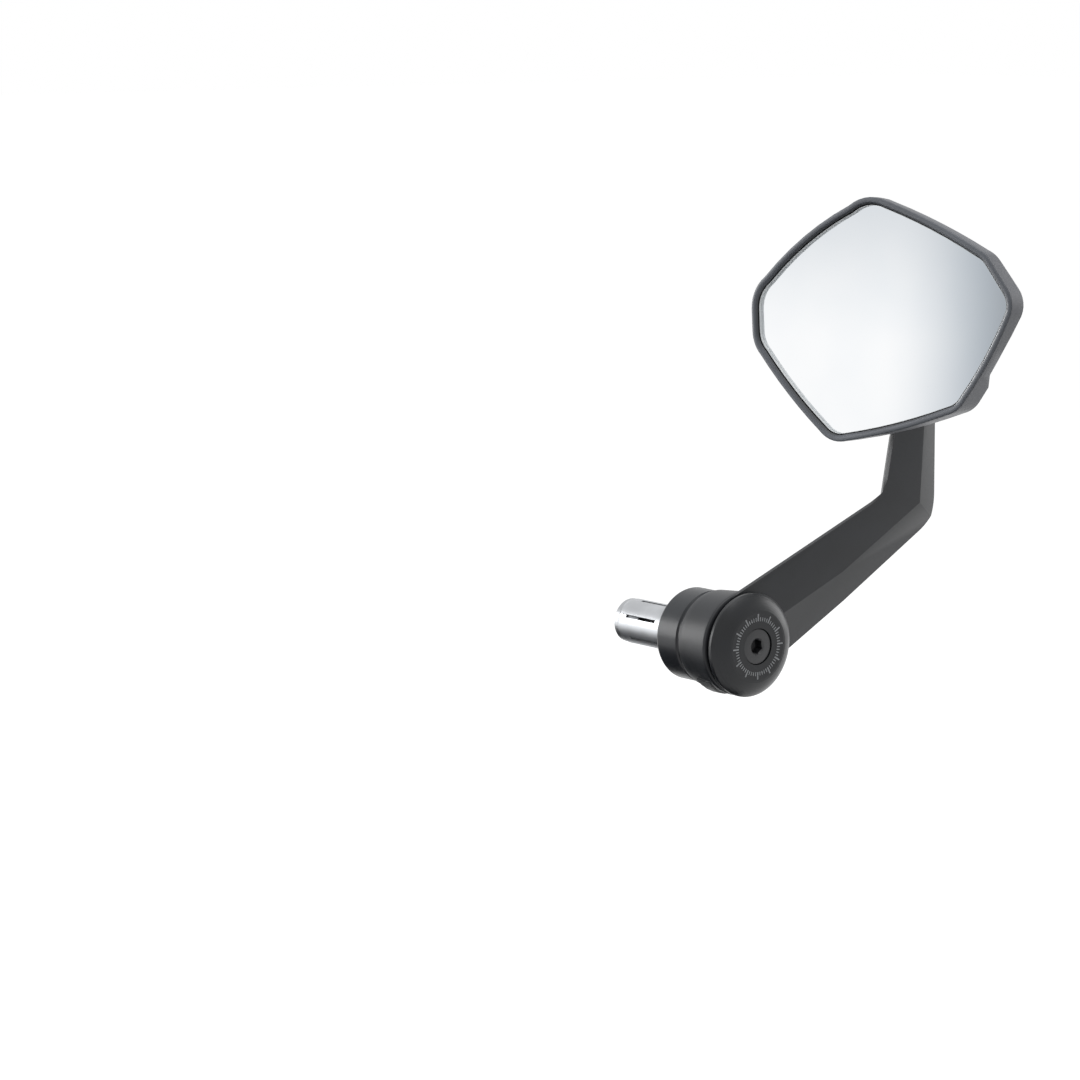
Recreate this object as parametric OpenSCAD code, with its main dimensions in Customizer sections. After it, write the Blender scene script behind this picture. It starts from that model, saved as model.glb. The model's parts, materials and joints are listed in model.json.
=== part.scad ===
// Motorcycle bar end mirror, right hand.
// X runs outward along the handlebar, Y forward, Z up.
// The origin is on the bar axis, at the face that seats on the end of the bar.

/* [Bar end] */
// Outside diameter of the inner collar
collar_d = 34; // [32:0.5:35]
// Length of the inner collar outside the bar
collar_len = 12.6; // [10:0.2:18]
// Outside diameter of the end cap and of the arm's ring at its outer face
cap_d = 38; // [36:0.5:44]
// Overall thickness of the end cap
cap_len = 5.8; // [5.2:0.1:8]
// Diameter of the cap's flat face
cap_face_d = 26.6; // [24:0.2:28]
// Height of the cap's straight side
cap_side = 1.8; // [1.4:0.1:2.6]
// Width of the collar's shoulder beside the arm's ring
shoulder_w = 5; // [4:0.25:5.5]
// Diameter of the plug inside the handlebar
plug_d = 16.8; // [16:0.1:17.6]
// Length of the collar's spigot inside the bar
spigot_len = 4; // [3:0.5:8]
// Length of the split expander sleeve
sleeve_len = 25; // [22:0.5:34]
// Smallest bore of the expander sleeve
sleeve_bore_d = 10.4; // [9.6:0.2:11]
// Width of a slit in the expander sleeve
slit_w = 1.2; // [1:0.1:1.4]
// Turn of the sleeve's slits from the vertical, in degrees
slit_turn = 7.5; // [0:0.5:30]
// Thread diameter of the centre screw
screw_d = 8; // [6:1:8]
// Head diameter of the centre screw
screw_head_d = 12.8; // [12:0.1:13]
// Hexagon socket of the centre screw, across flats
screw_hex = 5; // [4:0.5:6]
// Diameter of the two pins that lock the cap to the collar
dowel_d = 2.5; // [2:0.1:3]
// Thickness of each plain washer beside the arm's ring
washer_t = 0.6; // [0.5:0.1:1]
// Height of the wave washer under the cap
wave_h = 1.1; // [0.9:0.1:1.6]
// Thickness of the wave washer's steel
wave_t = 0.4; // [0.3:0.05:0.5]
// Depth of the pins in the collar's journal
dowel_deep = 5; // [4:0.25:6]
// Depth of the pins in the cap
dowel_cap = 2; // [1.5:0.1:2.4]

/* [Arm] */
// Length of the ring along the bar
ring_len = 16; // [14:0.5:20]
// Outside diameter of the ring at its inner end
ring_d = 35.6; // [34:0.2:37]
// Wall of the plain bush inside the ring
bush_t = 1.4; // [1:0.1:1.8]
// Thickness of the arm along the bar
arm_t = 10; // [9:0.5:12]
// Forward place of the inner elbow's corner
inner_elbow_y = 69.8; // [64:0.2:76]
// Height of the inner elbow's corner
inner_elbow_z = 48.1; // [44:0.1:52]
// Forward place of the outer elbow's corner
outer_elbow_y = 100.8; // [96:0.2:106]
// Height of the outer elbow's corner
outer_elbow_z = 36.6; // [34:0.2:42]
// Height at which the rear edge starts to lean away from the head
lean_z = 70; // [64:0.5:76]
// Forward place of the rear edge at that height
lean_y = 74; // [70:0.2:76]
// Forward place of the front edge at the top
front_y = 97.5; // [95:0.5:102]
// Radius of the inner elbow
inner_elbow_r = 14; // [8:0.5:18]
// Radius of the outer elbow
outer_elbow_r = 15; // [8:0.5:20]
// Forward shift of the plate's root against the bar
root_y = 0.4; // [0:0.1:1]
// Downward shift of the plate's root against the bar
root_drop = 0.5; // [0:0.1:1]
// Slope of the broad bevel along the front edge, in degrees
bevel_deg = 22; // [15:1:28]
// Width of the bevel beside the ring
bevel_root = 17.5; // [14:0.5:20]
// Width of the bevel at a third of the lower arm
bevel_mid = 13.4; // [11:0.2:16]
// Width of the bevel at the elbow
bevel_elbow = 12.6; // [10:0.2:14]
// Width of the bevel at the top
bevel_top = 9.6; // [8:0.2:12]
// Width of the plain land along the rear edge
land_w = 1.8; // [1:0.1:3]
// Angle at which the back of the rear edge is cut away
undercut_deg = 42; // [30:1:46]
// Diameter of the boss that holds the ball stud
boss_d = 18; // [16:0.5:22]

/* [Ball joint] */
// Outward place of the ball's centre
ball_x = 27; // [25:0.5:30]
// Forward place of the ball's centre
ball_y = 73.5; // [72:0.5:75]
// Height of the ball's centre
ball_z = 112; // [108:0.5:120]
// Diameter of the ball
ball_d = 15; // [14.6:0.1:15.4]
// Diameter of the stud's neck
neck_d = 7.5; // [6.5:0.1:7.6]
// Distance from the ball's centre to the stud's seat on the arm
stud_reach = 12.5; // [12.4:0.1:14]
// Thickness of the stud's hexagon
stud_hex_t = 2.4; // [2:0.1:2.4]
// Width of the stud's hexagon and of its nut, across flats
stud_hex = 13; // [12:0.5:13]
// Thread diameter of the stud
stud_d = 8; // [6:1:8]
// Wall of the two plastic cups round the ball
liner_t = 1.35; // [1.2:0.05:1.5]
// Outside diameter of the pressure cup
cup_d = 22; // [21:0.5:23]
// Thickness of the clamp plate
clamp_t = 1.2; // [1:0.1:1.6]
// Distance of the clamp screws from the ball's axis
clamp_r = 17; // [16.5:0.25:18]
// Shank diameter of the small screws in the head
tap_d = 2.9; // [2.6:0.1:3]
// Head diameter of the small screws in the head
tap_head_d = 5.6; // [5:0.1:6]
// Length of the clamp screws below their heads
clamp_screw_len = 9; // [7:0.5:9.5]
// Length of the carrier screws below their heads
carrier_screw_len = 4.8; // [4:0.2:5]
// Height of the stud's nut
nut_h = 6.5; // [6:0.1:8]
// Thickness of the washer under the stud's nut
stud_washer_t = 1.5; // [1.2:0.1:2]

/* [Mirror head] */
// Swing of the head towards the outside, in degrees
head_yaw = 8; // [4:1:10]
// Upward tilt of the head, in degrees
head_tilt = 3; // [0:1:6]
// Lean of the head in its own plane, in degrees
head_roll = 11.5; // [0:0.5:15]
// Distance of the head's middle from the ball, towards the outside
head_offset = 9.4; // [4:0.2:12]
// Height of the top corner above the head's middle
top_corner = 47.5; // [44:0.5:52]
// Outward place of the outer shoulder
out_shoulder_u = 49.5; // [46:0.5:54]
// Height of the outer shoulder
out_shoulder_v = 17; // [14:0.5:20]
// Outward place of the outer side corner
out_side_u = 60.5; // [56:0.5:64]
// Height of the outer side corner
out_side_v = -3; // [-6:0.5:0]
// Outward place of the outer bottom corner
out_foot_u = 30; // [26:0.5:34]
// Height of the outer bottom corner
out_foot_v = -37.5; // [-42:0.5:-36]
// Inward place of the inner bottom corner
in_foot_u = -30; // [-34:0.5:-26]
// Height of the inner bottom corner
in_foot_v = -42.5; // [-46:0.5:-40]
// Inward place of the inner side corner
in_side_u = -61.5; // [-64:0.5:-58]
// Height of the inner side corner
in_side_v = -1; // [-4:0.5:2]
// Inward place of the inner shoulder
in_shoulder_u = -59.5; // [-62:0.5:-54]
// Height of the inner shoulder
in_shoulder_v = 20; // [17:0.5:23]
// Outward bow of the long edges
edge_bow = 1; // [0:0.1:1.5]
// Outward bow of the inner top edge
top_bow = 2.2; // [0:0.1:3]
// Width of the bezel's rim
rim_w = 1.7; // [1.6:0.1:2.4]
// Width of the chamfer inside the rim
rim_chamfer = 0.8; // [0.7:0.1:1.4]
// Height of the rim above the glass
rim_h = 1.2; // [1.1:0.1:1.8]
// Height of the rim's side above the joint with the housing
rim_side = 0.6; // [0.5:0.1:0.9]
// Wall of the bezel's skirt inside the housing
skirt_t = 0.8; // [0.7:0.05:0.9]
// Wall of the housing beside the bezel's skirt
rebate_t = 1; // [0.8:0.1:1.1]
// Thickness of the glass
glass_t = 2; // [1.8:0.1:3]
// Thickness of the adhesive pad behind the glass
pad_t = 0.8; // [0.6:0.1:1]
// Thickness of the glass carrier
carrier_t = 1.5; // [1.5:0.1:2]
// Distance of the glass surface in front of the ball's centre
glass_w = 17; // [16.8:0.1:19]
// Wall of the rear housing
shell_t = 1.8; // [1.6:0.1:2]
// Depth of the housing's side at the top
top_depth = 5.8; // [5.6:0.1:7]
// Depth of the housing's side at the side corners
side_depth = 8.1; // [7:0.1:9]
// Depth left in the middle of the scallops
scallop_depth = 6.4; // [5.8:0.1:7]
// Depth of the housing's side at the bottom
foot_depth = 10.6; // [9:0.2:11.4]
// Inward draft of the housing's side
draft = 0.3; // [0.1:0.1:0.6]

/* [Hidden] */
$fn = 96;

// Running clearance of a turning fit, on the radius
run_gap = 0.05;
// Clearance of a screw in a plain hole, on the radius
hole_gap = 0.2;
// Clearance of a thread or a pin in its hole, on the radius
thread_gap = 0.03;
// Overrun of a cutter past the face that it cuts
eps = 1;
// Reach of the half spaces that bevel the arm
far = 200;

// Stations along the bar
ring_x = collar_len + washer_t;
face_x = ring_x + ring_len;
wave_x = face_x + washer_t;
cap_x = wave_x + wave_h;
cap_face_x = cap_x + cap_len;
journal_r = collar_d / 2 - shoulder_w;
plug_r = plug_d / 2;
screw_r = screw_d / 2;
bush_r = journal_r + run_gap + bush_t;
washer_out_r = collar_d / 2 - 1;
cone_len = 8;
cone_rim = 2;
cone_gap = 0.6;
cone_r = plug_r - 0.2;
cone_tip_r = sleeve_bore_d / 2 + 0.3;
// Slope of the cones, as radius for each millimetre along the bar
cone_slope = (cone_r - cone_tip_r) / cone_len;
sleeve_x = -spigot_len - cone_rim - cone_gap;
nut_x = sleeve_x - sleeve_len - cone_gap;
screw_end = nut_x - cone_rim - 4;
key_len = 4;
socket_deep = 4;
dowel_r = dowel_d / 2;
dowel_at = (screw_r + journal_r) / 2 + 0.4;
head_r = screw_head_d / 2;
head_sink = 0.35;

// Plate of the arm, as points of Y and Z
ring_r = cap_d / 2;
root = [root_y, -root_drop];
outer_elbow = [outer_elbow_y, outer_elbow_z];
inner_elbow = [inner_elbow_y, inner_elbow_z];
lean = [lean_y, lean_z];
seat_y = ball_y + stud_reach;
seat_low = [seat_y, ball_z - boss_d / 2 - 2];
front_seat = [front_y, seat_low[1]];
front_top = [front_y, ball_z];
lower_touch = root + touch(outer_elbow - root, ring_r, -1);
upper_touch = root + touch(inner_elbow - root, ring_r, 1);
arm_back_x = face_x - arm_t;

// Head planes, as distances from the ball along the head's own axis
glass_back = glass_w - glass_t;
pad_back = glass_back - pad_t;
carrier_back = pad_back - carrier_t;
crest_w = glass_w + rim_h;
parting_w = crest_w - rim_side;
ledge_w = pad_back - 0.1;
skirt_out = rebate_t + 0.1;
skirt_in = skirt_out + skirt_t;
ball_r = ball_d / 2;
liner_in = ball_r + run_gap;
liner_out = liner_in + liner_t;
pocket_r = liner_out + run_gap;
cup_r = cup_d / 2;
cup_from = 0.6;
cup_floor = pocket_r + 1.65;
cup_split = 2;
rear_reach = 5;
clamp_top = cup_floor + clamp_t;
tap_r = tap_d / 2;
pan_h = 1.6;
lip = rim_w + rim_chamfer;
glass_inset = skirt_in + 0.15;
carrier_inset = glass_inset + 1.6;
pad_inset = carrier_inset + 0.3;
sink_r = tap_r + 1.5;
sink_deep = 1.3;
socket_end = 6.3;
socket_r = cup_r + 2.2;
lug_r = 4.2;
clamp_post_r = 3.6;
carrier_post_r = 3.4;

outline_corners = [
    [0, top_corner], [in_shoulder_u, in_shoulder_v], [in_side_u, in_side_v], [in_foot_u, in_foot_v],
    [out_foot_u, out_foot_v], [out_side_u, out_side_v], [out_shoulder_u, out_shoulder_v]
];
outline_radii = [18, 14, 13, 13, 12, 10, 12];
outline_bows = [top_bow, 0, edge_bow, edge_bow, edge_bow, 0, edge_bow];
outline = [for (p = rounded(outline_corners, outline_radii, outline_bows, 7, 5)) p + [head_offset, 0]];
carrier_posts = [
    for (p = [[-36, 15], [29, 14], [34, -12], [-34, -14]]) p + [head_offset, 0]
];

// Plane geometry
function unit(v) = v / norm(v);
function turn(a, b) = let (d = b - a) d > 180 ? d - 360 : d < -180 ? d + 360 : d;
function heading(v) = atan2(v[1], v[0]);

// Point where a line from p touches a circle round the origin
function touch(p, r, side) = let (a = heading(p) + side * acos(r / norm(p))) r * [cos(a), sin(a)];

// Arc that rounds the corner c between the points p and n
function corner(p, c, n, r, steps) =
    let (
        a = unit(p - c),
        b = unit(n - c),
        half = acos(a * b) / 2,
        mid = c + unit(a + b) * r / sin(half),
        from = heading(c + a * r / tan(half) - mid),
        sweep = turn(from, heading(c + b * r / tan(half) - mid))
    )
    [for (i = [0:steps]) mid + r * [cos(from + sweep * i / steps), sin(from + sweep * i / steps)]];

// Points between two ends, bowed outward by a sagitta
function bowed(a, b, bow, steps) =
    let (out = [b[1] - a[1], a[0] - b[0]] / norm(b - a))
    [for (i = [1:steps]) let (s = i / (steps + 1)) a + (b - a) * s + out * bow * 4 * s * (1 - s)];

// Closed outline with a rounded corner and a bowed edge after each corner
function rounded(pts, radii, bows, steps, between) =
    let (
        n = len(pts),
        arcs = [for (i = [0:n - 1]) corner(pts[(i + n - 1) % n], pts[i], pts[(i + 1) % n], radii[i], steps)]
    )
    [for (i = [0:n - 1]) each concat(arcs[i], bowed(arcs[i][steps], arcs[(i + 1) % n][0], bows[i], between))];

// Outline moved inward by d
function inset(pts, d) =
    let (n = len(pts))
    [for (i = [0:n - 1])
        let (t = unit(pts[(i + 1) % n] - pts[(i + n - 1) % n]))
        pts[i] + d * [-t[1], t[0]]];

function raised(pts, w) = [for (p = pts) [p[0], p[1], w]];

// Smooth step from 0 at a to 1 at b
function ease(a, b, x) = let (s = min(1, max(0, (x - a) / (b - a)))) s * s * (3 - 2 * s);

// Place of a point along the slanting lower edge on its own side, 0 at the side corner and 1 at the foot
function down_edge(p) =
    let (
        q = p - [head_offset, 0],
        a = q[0] > 0 ? [out_side_u, out_side_v] : [in_side_u, in_side_v],
        b = q[0] > 0 ? [out_foot_u, out_foot_v] : [in_foot_u, in_foot_v]
    )
    (q - a) * (b - a) / ((b - a) * (b - a));

// Depth of the housing's side at a point of the outline
function side_at(p) =
    let (
        s = down_edge(p),
        upper = side_depth + (top_depth - side_depth) * ease(out_side_v, top_corner - 8, p[1])
    )
    s < 0.64 ? upper + (scallop_depth - side_depth) * ease(0, 0.5, s)
             : scallop_depth + (foot_depth - scallop_depth) * ease(0.64, 0.8, s);

// Closed skin over rings of equal length
module loft(rings) {
    n = len(rings[0]);
    m = len(rings);
    polyhedron(
        points = [for (r = rings) each r],
        faces = concat(
            [[for (i = [0:n - 1]) i]],
            [for (j = [0:m - 2], i = [0:n - 1]) let (k = (i + 1) % n)
                [j * n + i, (j + 1) * n + k, j * n + k]],
            [for (j = [0:m - 2], i = [0:n - 1]) let (k = (i + 1) % n)
                [j * n + i, (j + 1) * n + i, (j + 1) * n + k]],
            [[for (i = [n - 1:-1:0]) (m - 1) * n + i]]
        )
    );
}

// Turned piece along the bar, from points of radius and X
module turned(profile) {
    rotate([0, 90, 0])
        rotate_extrude()
            polygon(profile);
}

// Cylinder along the bar
module bar_cyl(r, x0, x1) {
    translate([x0, 0, 0])
        rotate([0, 90, 0])
            cylinder(r = r, h = x1 - x0);
}

module bar_ring(ro, ri, x0, x1) {
    difference() {
        bar_cyl(ro, x0, x1);
        bar_cyl(ri, x0 - eps, x1 + eps);
    }
}

// Cylinder along Y at the height and place of the ball
module stud_cyl(r, y0, y1) {
    translate([ball_x, y0, ball_z])
        rotate([-90, 0, 0])
            cylinder(r = r, h = y1 - y0);
}

// Frame of the mirror head: X outward, Y up, Z out of the glass, at the ball's centre
module head_frame() {
    translate([ball_x, ball_y, ball_z])
        rotate([0, 0, head_yaw])
            rotate([90 - head_tilt, 0, 0])
                rotate([0, 0, head_roll])
                    children();
}

module slab(pts, w0, w1) {
    translate([0, 0, w0])
        linear_extrude(w1 - w0)
            polygon(pts);
}

module inner_collar() {
    edge = 1;
    r = collar_d / 2;
    neck_w = 1.2;
    color("#4d5054")
        difference() {
            turned([
                [0, -spigot_len], [plug_r - 0.5, -spigot_len], [plug_r, -spigot_len + 0.5], [plug_r, 0],
                [r - edge, 0], [r - 0.3, 0.3], [r, edge], [r, collar_len - neck_w - 0.6],
                [r - 0.6, collar_len - neck_w], [r - 0.6, collar_len],
                [journal_r, collar_len], [journal_r, cap_x], [0, cap_x]
            ]);
            bar_cyl(screw_r + hole_gap, -spigot_len - eps, cap_x + eps);
            dowel_places()
                bar_cyl(dowel_r + thread_gap, cap_x - dowel_deep, cap_x + eps);
        }
}

module dowel_places() {
    for (a = [0, 180])
        rotate([a, 0, 0])
            translate([0, dowel_at, 0])
                children();
}

module end_cap() {
    edge = 0.7;
    shoulder = [ring_r - 0.15, cap_x + cap_side + 0.15];
    rim = [cap_face_d / 2, cap_face_x - 0.12];
    sink = cap_face_x - head_sink - 0.4;
    color("#3b3d40")
        difference() {
            turned(concat(
                [[screw_r + hole_gap, cap_x], [ring_r - edge, cap_x], [ring_r - 0.2, cap_x + 0.2],
                 [ring_r, cap_x + edge], [ring_r, cap_x + cap_side - 0.3], shoulder],
                bowed(shoulder, rim, 0.45, 6),
                [rim, [rim[0] - 0.9, cap_face_x], [head_r + 0.25, cap_face_x], [head_r + 0.25, sink]],
                [[screw_r + hole_gap, sink - (head_r - screw_r)]]
            ));
            dowel_places()
                bar_cyl(dowel_r + thread_gap, cap_x - eps, cap_x + dowel_cap);
        }
}

module centre_screw() {
    top = cap_face_x - head_sink;
    color("#35373a")
        difference() {
            turned([
                [0, screw_end], [screw_r - 0.8, screw_end], [screw_r, screw_end + 0.8],
                [screw_r, top - 0.4 - (head_r - screw_r)], [head_r, top - 0.4], [head_r, top - 0.15],
                [head_r - 0.15, top], [0, top]
            ]);
            translate([top - socket_deep, 0, 0])
                rotate([0, 90, 0])
                    cylinder(d = screw_hex / cos(30), h = socket_deep + eps, $fn = 6);
        }
}

module front_cone() {
    base = -spigot_len;
    color("#a9acb0")
        difference() {
            turned([
                [0, base - cone_rim - cone_len], [cone_tip_r, base - cone_rim - cone_len],
                [cone_r, base - cone_rim], [cone_r, base], [0, base]
            ]);
            bar_cyl(screw_r + hole_gap, base - cone_rim - cone_len - eps, base + eps);
        }
}

module expander_sleeve() {
    x0 = sleeve_x - sleeve_len;
    bore = sleeve_bore_d / 2;
    mouth = cone_r - cone_slope * cone_gap + thread_gap;
    depth = (mouth - bore) / cone_slope;
    slit = sleeve_len * 0.8;
    color("#8f9296")
        difference() {
            turned([
                [mouth, x0], [plug_r - 0.02, x0], [plug_r, x0 + 0.1], [plug_r, sleeve_x - 0.1],
                [plug_r - 0.02, sleeve_x], [mouth, sleeve_x], [bore, sleeve_x - depth], [bore, x0 + depth]
            ]);
            for (a = [0, 120, 240])
                rotate([slit_turn + a, 0, 0])
                    translate([sleeve_x - slit, -slit_w / 2, 0])
                        cube([slit + eps, slit_w, plug_d]);
            for (a = [60, 180, 300])
                rotate([slit_turn + a, 0, 0])
                    translate([x0 - eps, -slit_w / 2, 0])
                        cube([slit + eps, slit_w, plug_d]);
        }
}

module cone_nut() {
    key_w = slit_w - 0.2;
    color("#a9acb0")
        difference() {
            union() {
                turned([
                    [0, nut_x - cone_rim], [cone_r, nut_x - cone_rim], [cone_r, nut_x],
                    [cone_tip_r, nut_x + cone_len], [0, nut_x + cone_len]
                ]);
                rotate([slit_turn + 60, 0, 0])
                    translate([nut_x, -key_w / 2, 0])
                        cube([key_len, key_w, cone_r - 0.1]);
            }
            bar_cyl(screw_r + thread_gap, nut_x - cone_rim - eps, nut_x + cone_len + eps);
        }
}

module cap_dowels() {
    color("#b5b8bb")
        dowel_places()
            bar_cyl(dowel_r, cap_x - dowel_deep + hole_gap, cap_x + dowel_cap - hole_gap);
}

module inner_thrust_washer() {
    color("#1d1e20")
        bar_ring(washer_out_r, journal_r + 0.1, collar_len, ring_x);
}

module outer_thrust_washer() {
    color("#1d1e20")
        bar_ring(washer_out_r, journal_r + 0.1, face_x, wave_x);
}

module wave_washer() {
    ri = journal_r + 0.2;
    ro = washer_out_r - 0.4;
    steps = 60;
    swing = (wave_h - wave_t) / 2;
    mid = (wave_x + cap_x) / 2;
    function at(i, r, side) =
        let (a = 360 * i / steps)
        [mid + swing * cos(3 * a) + side * wave_t / 2, r * cos(a), r * sin(a)];
    color("#9a9da1")
        polyhedron(
            points = [for (i = [0:steps - 1])
                each [at(i, ri, -1), at(i, ro, -1), at(i, ro, 1), at(i, ri, 1)]],
            faces = [for (i = [0:steps - 1], j = [0:3])
                let (k = (i + 1) % steps, l = (j + 1) % 4)
                each [[4 * i + j, 4 * i + l, 4 * k + l], [4 * i + j, 4 * k + l, 4 * k + j]]]
        );
}

// Half space that bevels the outer face of the arm, to the right of the line from a to b
module bevel_cut(a, b) {
    translate([face_x, a[0], a[1]])
        rotate([heading(b - a), 0, 0])
            rotate([0, bevel_deg, 0])
                translate([0, -far, -far])
                    cube([far, 2 * far, far]);
}

// Half space behind the rear edge of the arm, to the left of the line from a to b
module under_cut(a, b) {
    translate([face_x - land_w, a[0], a[1]])
        rotate([heading(b - a), 0, 0])
            rotate([0, -undercut_deg, 0])
                translate([-far, -far, 0])
                    cube([2 * far, 2 * far, far]);
}

// Point at a distance from the line a-b, on its left, s of the way along
function beside(a, b, s, d) = let (t = unit(b - a)) a + (b - a) * s + d * [-t[1], t[0]];

module arm_plate() {
    ridge_root = beside(lower_touch, outer_elbow, 0.22, bevel_root);
    ridge_mid = beside(lower_touch, outer_elbow, 0.5, bevel_mid);
    ridge_elbow = beside(lower_touch, outer_elbow, 0.93, bevel_elbow);
    ridge_low = beside(outer_elbow, front_top, 0.1, bevel_elbow);
    ridge_top = beside(outer_elbow, front_top, 0.5, bevel_top);
    root_from = heading(lower_touch - root) - 80;
    outline_yz = concat(
        [root],
        [for (i = [0:8]) root + ring_r * [cos(root_from + i * 10), sin(root_from + i * 10)]],
        corner(lower_touch, outer_elbow, front_seat, outer_elbow_r, 10),
        [front_seat, front_top, [seat_y, ball_z]],
        [seat_low, lean],
        corner(lean, inner_elbow, upper_touch, inner_elbow_r, 8),
        [upper_touch]
    );
    difference() {
        translate([arm_back_x, 0, 0])
            rotate([90, 0, 90])
                linear_extrude(arm_t)
                    polygon(outline_yz);
        bevel_cut(ridge_root, ridge_mid);
        bevel_cut(ridge_mid, ridge_elbow);
        bevel_cut(ridge_low, ridge_top);
        intersection() {
            under_cut(upper_touch, inner_elbow);
            union() {
                under_cut(inner_elbow, lean);
                under_cut(lean, seat_low);
            }
        }
    }
}

module mirror_arm() {
    r0 = ring_d / 2;
    fair_z = ball_z - boss_d - 8;
    inset_b = 0.4;
    color("#3e4144")
        difference() {
            union() {
                arm_plate();
                turned([
                    [0, ring_x], [r0 - 0.8, ring_x], [r0 - 0.2, ring_x + 0.3], [r0, ring_x + 1],
                    [r0 + (ring_r - r0) * 0.3, ring_x + ring_len * 0.35],
                    [r0 + (ring_r - r0) * 0.72, ring_x + ring_len * 0.7],
                    [ring_r, face_x - 1.2], [ring_r - 0.25, face_x - 0.3], [ring_r - 1, face_x], [0, face_x]
                ]);
                stud_cyl(boss_d / 2, seat_y, front_y);
                hull() {
                    stud_cyl(boss_d / 2 - inset_b, seat_y + inset_b, front_y - inset_b, $fn = 32);
                    translate([arm_back_x + 3, seat_y - 1, fair_z])
                        cube([arm_t - 4, front_y - seat_y - 1, 2]);
                }
            }
            bar_cyl(bush_r + thread_gap, ring_x - eps, face_x + eps);
            stud_cyl(stud_d / 2 + thread_gap, seat_y - eps, front_y + eps);
            translate([arm_back_x, seat_y - 30, ball_z - boss_d / 2 - 1])
                cube([boss_d * 2, 30, boss_d + 10]);
        }
}

module ring_bush() {
    color("#c9b27a")
        bar_ring(bush_r, journal_r + run_gap, ring_x, face_x);
}

module ball_stud() {
    hex_y = seat_y - stud_hex_t;
    nut_y = front_y + stud_washer_t;
    color("#9da0a4")
        union() {
            translate([ball_x, ball_y, ball_z])
                sphere(r = ball_r);
            stud_cyl(neck_d / 2, ball_y, hex_y + 0.1);
            translate([ball_x, hex_y, ball_z])
                rotate([-90, 0, 0])
                    cylinder(d = stud_hex / cos(30), h = stud_hex_t, $fn = 6);
            stud_cyl(stud_d / 2, seat_y - 0.1, nut_y + nut_h + 1.1);
        }
}

module stud_washer() {
    color("#9da0a4")
        difference() {
            stud_cyl(stud_d, front_y, front_y + stud_washer_t);
            stud_cyl(stud_d / 2 + hole_gap, front_y - eps, front_y + stud_washer_t + eps);
        }
}

module stud_nut() {
    y0 = front_y + stud_washer_t;
    color("#9da0a4")
        difference() {
            translate([ball_x, y0, ball_z])
                rotate([-90, 0, 0])
                    cylinder(d = stud_hex / cos(30), h = nut_h, $fn = 6);
            stud_cyl(stud_d / 2 + thread_gap, y0 - eps, y0 + nut_h + eps);
        }
}

// Zone of the plastic cup between two planes of the head
module ball_zone(w0, w1) {
    difference() {
        intersection() {
            sphere(r = liner_out);
            translate([0, 0, w0])
                cylinder(r = liner_out + eps, h = w1 - w0);
        }
        sphere(r = liner_in);
    }
}

module rear_liner() {
    color("#d8d9d4")
        head_frame()
            ball_zone(-rear_reach, -cup_split);
}

module front_liner() {
    color("#d8d9d4")
        head_frame()
            ball_zone(cup_split, liner_out + eps);
}

module pressure_cup() {
    color("#2b2c2e")
        head_frame()
            difference() {
                translate([0, 0, cup_from])
                    cylinder(r = cup_r, h = cup_floor - cup_from);
                sphere(r = pocket_r);
            }
}

module clamp_places() {
    for (a = [90, 210, 330])
        rotate([0, 0, a])
            translate([clamp_r, 0, 0])
                children();
}

module clamp_plate() {
    color("#8d9094")
        head_frame()
            difference() {
                union() {
                    translate([0, 0, cup_floor])
                        cylinder(r = cup_r + 1, h = clamp_t);
                    clamp_places()
                        translate([0, 0, cup_floor])
                            cylinder(r = lug_r, h = clamp_t);
                    for (a = [90, 210, 330])
                        rotate([0, 0, a])
                            translate([0, -lug_r, cup_floor])
                                cube([clamp_r, 2 * lug_r, clamp_t]);
                }
                clamp_places()
                    translate([0, 0, cup_floor - eps])
                        cylinder(r = tap_r + hole_gap, h = clamp_t + 2 * eps);
            }
}

module clamp_screws() {
    color("#b5b8bb")
        head_frame()
            clamp_places()
                difference() {
                    union() {
                        translate([0, 0, clamp_top])
                            cylinder(d = tap_head_d, h = pan_h);
                        translate([0, 0, clamp_top - clamp_screw_len])
                            cylinder(r = tap_r, h = clamp_screw_len + 0.1);
                    }
                    for (a = [0, 90])
                        rotate([0, 0, a])
                            translate([-1.6, -0.3, clamp_top + pan_h - 0.8])
                                cube([3.2, 0.6, 0.8 + eps]);
                }
}

// Surface drawn in from the points towards the socket, as steps of share, blend and height,
// then up the side over rims of inset and height
module housing_skin(pts, steps, lift, rims) {
    base = [for (p = outline) parting_w - side_at(p)];
    loft(concat(
        [for (t = steps) [for (i = [0:len(pts) - 1])
            let (q = pts[i] * (1 - t[0]) + unit(pts[i]) * socket_r * t[0])
            [q[0], q[1], base[i] * (1 - t[1]) + t[2] * t[1]]]],
        [[for (i = [0:len(pts) - 1]) [pts[i][0], pts[i][1], base[i] + lift]]],
        [for (r = rims) raised(inset(outline, r[0]), r[1])]
    ));
}

module housing_outside() {
    steps = [[0.98, 1, 1.2], [0.62, 0.86, 2.2], [0.3, 0.6, 3.6], [0.1, 0.28, 4.6], [0.015, 0.03, 5]];
    housing_skin(inset(outline, draft), steps, 0.7, [[0, parting_w - 1.2], [0, parting_w]]);
}

module housing_inside() {
    steps = [
        [0.98, 1, 1.2 + shell_t], [0.62, 0.86, 2.4 + shell_t],
        [0.3, 0.6, 4 + shell_t], [0.1, 0.28, 5.6 + shell_t]
    ];
    rims = [[shell_t, ledge_w], [rebate_t, ledge_w], [rebate_t, parting_w + eps]];
    housing_skin(inset(outline, draft + shell_t), steps, 1.5, rims);
}

module carrier_places() {
    for (p = carrier_posts)
        translate([p[0], p[1], 0])
            children();
}

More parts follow.
